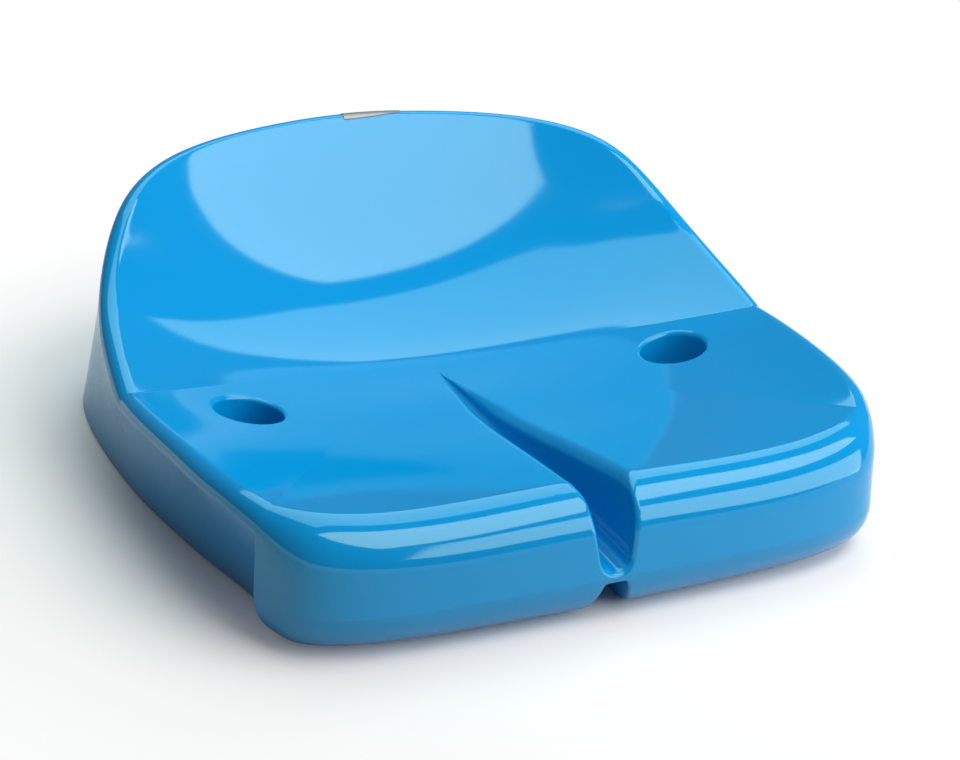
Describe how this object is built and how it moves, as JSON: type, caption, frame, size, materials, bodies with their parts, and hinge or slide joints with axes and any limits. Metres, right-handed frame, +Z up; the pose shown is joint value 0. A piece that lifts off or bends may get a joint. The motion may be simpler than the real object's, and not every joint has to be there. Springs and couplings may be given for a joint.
{
  "type": "stadium seat",
  "caption": "Low-back blow-moulded stadium seat with a dished pan, rolled rim, drain groove in the front and bolt cups for fixing to a step or beam.",
  "frame": {"origin": "midway between the two bolt holes, on the flat underside", "axes": "+X across the seat to the sitter's left, +Y from the front edge to the backrest, +Z up from the underside"},
  "size_m": [0.423, 0.4134, 0.1469],
  "materials": {
    "shell_plastic": "bright blue polyethylene with a high gloss",
    "plate": "silver foil label, bare",
    "zinc_steel": "zinc plated"
  },
  "bodies": {
    "root": {"seat_shell": "shell_plastic", "number_plate": "plate", "left_bolt_sleeve": "zinc_steel", "right_bolt_sleeve": "zinc_steel", "left_load_washer": "zinc_steel", "right_load_washer": "zinc_steel"}
  },
  "joints": []
}
